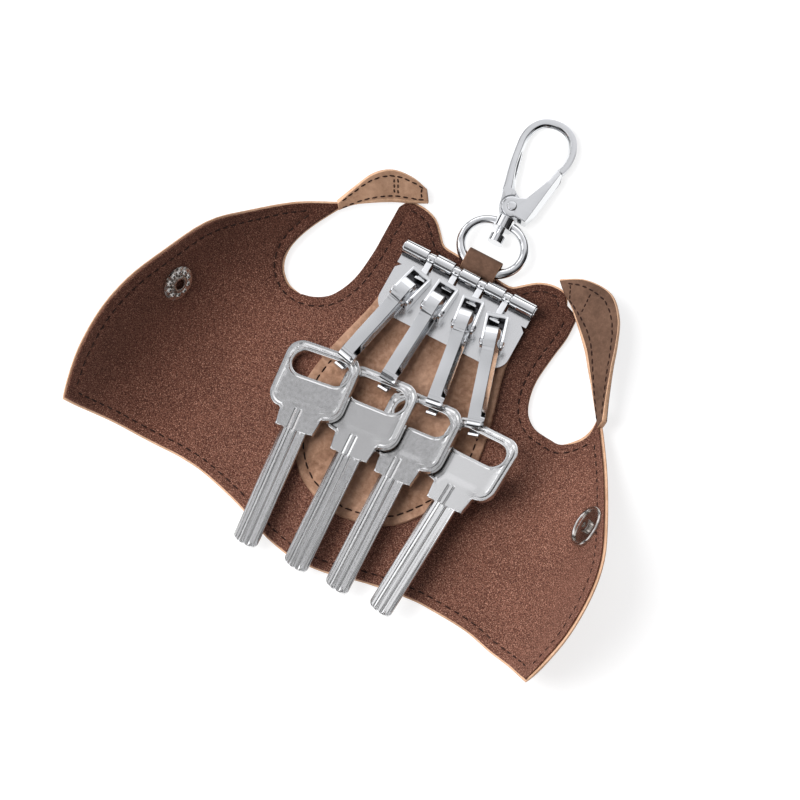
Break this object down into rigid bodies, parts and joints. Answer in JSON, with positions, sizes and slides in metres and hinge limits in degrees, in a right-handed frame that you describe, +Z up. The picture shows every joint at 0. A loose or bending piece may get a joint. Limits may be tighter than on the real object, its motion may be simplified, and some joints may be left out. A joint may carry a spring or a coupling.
{
  "type": "key case",
  "caption": "Open waistcoat-shaped leather key case: curled fronts with a snap, shoulder straps, a row of snap hooks with key blanks on a riveted plate, and a swivel clip at the neck.",
  "frame": {"origin": "middle of the back panel's outer face, which is the underside when the case lies open", "axes": "+X across the case to its right front, +Y towards the neck and the clip, +Z up out of the lining"},
  "size_m": [0.1614, 0.1532, 0.0319],
  "materials": {
    "outer_leather": "nubuck",
    "suede_lining": "suede",
    "strap_leather": "nubuck",
    "patch_leather": "nubuck",
    "key_metal": "satin",
    "plate_metal": "satin",
    "snap_metal": "antique plated",
    "spring_steel": "bright",
    "bright_plating": "polished"
  },
  "bodies": {
    "case": {"back_leather": "outer_leather", "back_lining": "suede_lining", "key_patch": "patch_leather", "neck_loop": "patch_leather", "left_strap": "strap_leather", "right_strap": "strap_leather", "hook_plate": "plate_metal", "hook_rod": "bright_plating", "plate_rivets": "plate_metal"},
    "left_front": {"left_front_leather": "outer_leather", "left_front_lining": "suede_lining", "snap_socket": "snap_metal", "snap_cap": "snap_metal"},
    "right_front": {"right_front_leather": "outer_leather", "right_front_lining": "suede_lining", "snap_post": "snap_metal", "snap_stud": "snap_metal"},
    "hook_1": {"hook_link_1": "bright_plating", "hook_frame_1": "bright_plating", "hook_pin_1": "bright_plating", "hook_spring_1": "spring_steel"},
    "hook_2": {"hook_link_2": "bright_plating", "hook_frame_2": "bright_plating", "hook_pin_2": "bright_plating", "hook_spring_2": "spring_steel"},
    "hook_3": {"hook_link_3": "bright_plating", "hook_frame_3": "bright_plating", "hook_pin_3": "bright_plating", "hook_spring_3": "spring_steel"},
    "hook_4": {"hook_link_4": "bright_plating", "hook_frame_4": "bright_plating", "hook_pin_4": "bright_plating", "hook_spring_4": "spring_steel"},
    "gate_1": {"hook_gate_1": "bright_plating"},
    "gate_2": {"hook_gate_2": "bright_plating"},
    "gate_3": {"hook_gate_3": "bright_plating"},
    "gate_4": {"hook_gate_4": "bright_plating"},
    "key_1": {"key_1": "key_metal"},
    "key_2": {"key_2": "key_metal"},
    "key_3": {"key_3": "key_metal"},
    "key_4": {"key_4": "key_metal"},
    "ring": {"swivel_ring": "bright_plating"},
    "clip": {"clip_body": "bright_plating", "clip_rivet": "bright_plating", "clip_spring": "spring_steel"},
    "clip_gate": {"clip_gate": "bright_plating"}
  },
  "joints": [
    {"name": "left_front_fold", "type": "hinge", "parent": "case", "child": "left_front", "pos_m": [-0.039, 0.01495, 0.002], "axis": [0.1392, 0.9903, 0], "range_deg": [0, 100], "deforming": ["left_strap"]},
    {"name": "right_front_fold", "type": "hinge", "parent": "case", "child": "right_front", "pos_m": [0.0445, 0.01495, 0.002], "axis": [0.1392, -0.9903, 0], "range_deg": [0, 95], "deforming": ["right_strap"]},
    {"name": "hook_swing_4", "type": "hinge", "parent": "case", "child": "hook_4", "pos_m": [0.0008, 0.04268, 0.00545], "axis": [0.9986, 0.0523, 0], "range_deg": [-95, 0]},
    {"name": "hook_swing_3", "type": "hinge", "parent": "case", "child": "hook_3", "pos_m": [0.0008, 0.04268, 0.00545], "axis": [0.9986, 0.0523, 0], "range_deg": [-95, 0]},
    {"name": "hook_swing_2", "type": "hinge", "parent": "case", "child": "hook_2", "pos_m": [0.0008, 0.04268, 0.00545], "axis": [0.9986, 0.0523, 0], "range_deg": [-95, 0]},
    {"name": "hook_swing_1", "type": "hinge", "parent": "case", "child": "hook_1", "pos_m": [0.0008, 0.04268, 0.00545], "axis": [0.9986, 0.0523, 0], "range_deg": [-95, 0]},
    {"name": "key_swing_4", "type": "hinge", "parent": "hook_4", "child": "key_4", "pos_m": [0.0028, 0.00443, 0.00765], "axis": [0.9986, 0.0523, 0], "range_deg": [-70, 0]},
    {"name": "key_swing_3", "type": "hinge", "parent": "hook_3", "child": "key_3", "pos_m": [0.0028, 0.00443, 0.00765], "axis": [0.9986, 0.0523, 0], "range_deg": [-70, 0]},
    {"name": "key_swing_2", "type": "hinge", "parent": "hook_2", "child": "key_2", "pos_m": [0.0028, 0.00443, 0.00765], "axis": [0.9986, 0.0523, 0], "range_deg": [-70, 0]},
    {"name": "key_swing_1", "type": "hinge", "parent": "hook_1", "child": "key_1", "pos_m": [0.0028, 0.00443, 0.00765], "axis": [0.9986, 0.0523, 0], "range_deg": [-70, 0]},
    {"name": "hook_gate_1_open", "type": "hinge", "parent": "hook_1", "child": "gate_1", "pos_m": [-0.01273, 0.02771, 0.0097], "axis": [0.9863, -0.165, 0], "range_deg": [-12, 0], "stiffness_Nm_per_rad": 0.02, "springref_deg": 17.19, "deforming": ["hook_spring_1"]},
    {"name": "hook_gate_2_open", "type": "hinge", "parent": "hook_2", "child": "gate_2", "pos_m": [-0.00309, 0.02872, 0.0097], "axis": [1, -0.0035, 0], "range_deg": [-12, 0], "stiffness_Nm_per_rad": 0.02, "springref_deg": 17.19, "deforming": ["hook_spring_2"]},
    {"name": "hook_gate_3_open", "type": "hinge", "parent": "hook_3", "child": "gate_3", "pos_m": [0.00698, 0.02903, 0.0097], "axis": [0.9799, 0.1994, 0], "range_deg": [-12, 0], "stiffness_Nm_per_rad": 0.02, "springref_deg": 17.19, "deforming": ["hook_spring_3"]},
    {"name": "hook_gate_4_open", "type": "hinge", "parent": "hook_4", "child": "gate_4", "pos_m": [0.01654, 0.02879, 0.0097], "axis": [0.9397, 0.342, 0], "range_deg": [-12, 0], "stiffness_Nm_per_rad": 0.02, "springref_deg": 17.19, "deforming": ["hook_spring_4"]},
    {"name": "ring_swing", "type": "hinge", "parent": "case", "child": "ring", "pos_m": [0.002, 0.04733, 0.00405], "axis": [0.9945, 0.1045, 0], "range_deg": [-12, 100], "deforming": ["neck_loop"]},
    {"name": "clip_swivel", "type": "hinge", "parent": "ring", "child": "clip", "pos_m": [0.00041, 0.06241, 0.00307], "axis": [-0.1043, 0.9924, -0.0645], "continuous": true},
    {"name": "clip_gate_open", "type": "hinge", "parent": "clip", "child": "clip_gate", "pos_m": [-0.00013, 0.06757, 0.00273], "axis": [-0.0067, 0.0642, 0.9979], "range_deg": [0, 22], "stiffness_Nm_per_rad": 0.02, "springref_deg": -17.19, "deforming": ["clip_spring"]}
  ],
  "couplings": [
    {"joint": "hook_swing_3", "follows": "hook_swing_4", "ratio": 1},
    {"joint": "hook_swing_2", "follows": "hook_swing_4", "ratio": 1},
    {"joint": "hook_swing_1", "follows": "hook_swing_4", "ratio": 1},
    {"joint": "key_swing_3", "follows": "key_swing_4", "ratio": 1},
    {"joint": "key_swing_2", "follows": "key_swing_4", "ratio": 1},
    {"joint": "key_swing_1", "follows": "key_swing_4", "ratio": 1}
  ]
}
